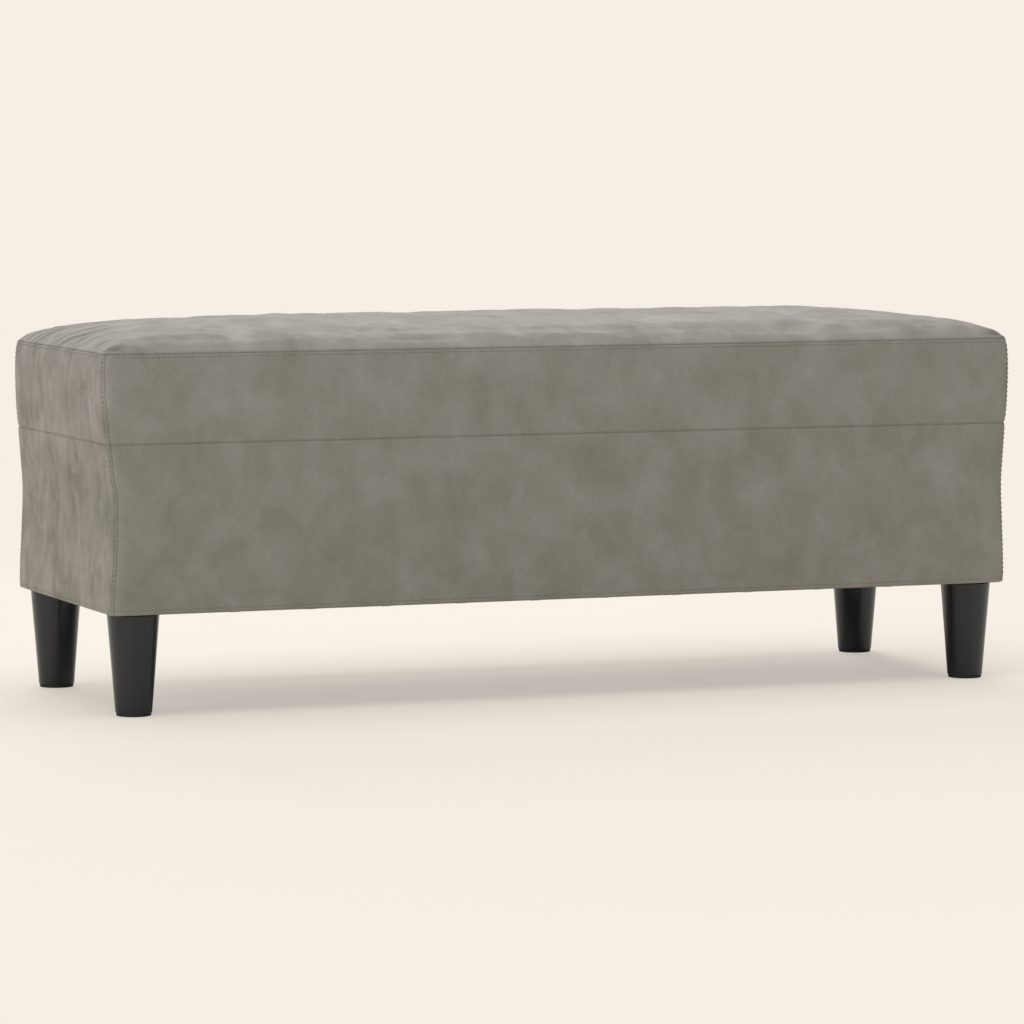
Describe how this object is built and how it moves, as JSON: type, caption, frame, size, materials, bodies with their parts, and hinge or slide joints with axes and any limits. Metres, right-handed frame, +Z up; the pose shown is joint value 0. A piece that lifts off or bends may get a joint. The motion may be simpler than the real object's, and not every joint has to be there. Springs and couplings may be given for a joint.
{
  "type": "upholstered bench",
  "caption": "Rectangular upholstered bench: crowned foam seat under a sewn velvet cover with a waist seam, a plywood box inside, and tapered screw-on legs.",
  "frame": {"origin": "on the floor, under the middle of the bench", "axes": "+X along the bench, to the right when facing its front; the front faces -Y; +Z up"},
  "size_m": [1.005, 0.3442, 0.3948],
  "materials": {
    "velvet": "brushed velvet, taupe grey",
    "leg_plastic": "moulded, satin black",
    "glide_plastic": "moulded, matt black",
    "plywood": "sanded plywood",
    "pine": "sawn pine",
    "foam": "open-cell foam",
    "wadding": "fibre wadding",
    "dust_cloth": "non-woven cloth, black",
    "zinc_steel": "bright zinc plate"
  },
  "bodies": {
    "bench": {"back_band": "velvet", "back_left_corner_block": "pine", "back_left_tee_nut": "zinc_steel", "back_panel": "plywood", "back_panel_screws": "zinc_steel", "back_right_corner_block": "pine", "back_right_tee_nut": "zinc_steel", "back_side_foam": "foam", "back_skirt": "velvet", "centre_divider": "plywood", "deck_screws": "zinc_steel", "dust_cover": "dust_cloth", "end_panel_screws": "zinc_steel", "front_band": "velvet", "front_left_corner_block": "pine", "front_left_tee_nut": "zinc_steel", "front_panel": "plywood", "front_panel_screws": "zinc_steel", "front_right_corner_block": "pine", "front_right_tee_nut": "zinc_steel", "front_side_foam": "foam", "front_skirt": "velvet", "hem_staples": "zinc_steel", "left_band": "velvet", "left_end_panel": "plywood", "left_leg_board": "plywood", "left_side_foam": "foam", "left_skirt": "velvet", "right_band": "velvet", "right_end_panel": "plywood", "right_leg_board": "plywood", "right_side_foam": "foam", "right_skirt": "velvet", "seat_deck": "plywood", "seat_foam": "foam", "seat_wadding": "wadding", "top_cover": "velvet"},
    "front_left_stud": {"front_left_leg_stud": "zinc_steel"},
    "front_left_leg": {"front_left_leg": "leg_plastic", "front_left_foot_glide": "glide_plastic"},
    "front_right_stud": {"front_right_leg_stud": "zinc_steel"},
    "front_right_leg": {"front_right_leg": "leg_plastic", "front_right_foot_glide": "glide_plastic"},
    "back_left_stud": {"back_left_leg_stud": "zinc_steel"},
    "back_left_leg": {"back_left_leg": "leg_plastic", "back_left_foot_glide": "glide_plastic"},
    "back_right_stud": {"back_right_leg_stud": "zinc_steel"},
    "back_right_leg": {"back_right_leg": "leg_plastic", "back_right_foot_glide": "glide_plastic"}
  },
  "joints": [
    {"name": "front_left_leg_advance", "type": "slide", "parent": "bench", "child": "front_left_stud", "axis": [0, 0, -1], "range_m": [0, 0.0125]},
    {"name": "front_left_leg_turn", "type": "hinge", "parent": "front_left_stud", "child": "front_left_leg", "pos_m": [-0.466, -0.137, 0], "axis": [0, 0, -1], "range_deg": [0, 3601]},
    {"name": "front_right_leg_advance", "type": "slide", "parent": "bench", "child": "front_right_stud", "axis": [0, 0, -1], "range_m": [0, 0.0125]},
    {"name": "front_right_leg_turn", "type": "hinge", "parent": "front_right_stud", "child": "front_right_leg", "pos_m": [0.466, -0.137, 0], "axis": [0, 0, -1], "range_deg": [0, 3601]},
    {"name": "back_left_leg_advance", "type": "slide", "parent": "bench", "child": "back_left_stud", "axis": [0, 0, -1], "range_m": [0, 0.0125]},
    {"name": "back_left_leg_turn", "type": "hinge", "parent": "back_left_stud", "child": "back_left_leg", "pos_m": [-0.466, 0.137, 0], "axis": [0, 0, -1], "range_deg": [0, 3601]},
    {"name": "back_right_leg_advance", "type": "slide", "parent": "bench", "child": "back_right_stud", "axis": [0, 0, -1], "range_m": [0, 0.0125]},
    {"name": "back_right_leg_turn", "type": "hinge", "parent": "back_right_stud", "child": "back_right_leg", "pos_m": [0.466, 0.137, 0], "axis": [0, 0, -1], "range_deg": [0, 3601]}
  ],
  "couplings": [
    {"joint": "front_left_leg_turn", "follows": "front_left_leg_advance", "rad_per_m": 5026.5},
    {"joint": "front_right_leg_turn", "follows": "front_right_leg_advance", "rad_per_m": 5026.5},
    {"joint": "back_left_leg_turn", "follows": "back_left_leg_advance", "rad_per_m": 5026.5},
    {"joint": "back_right_leg_turn", "follows": "back_right_leg_advance", "rad_per_m": 5026.5}
  ]
}
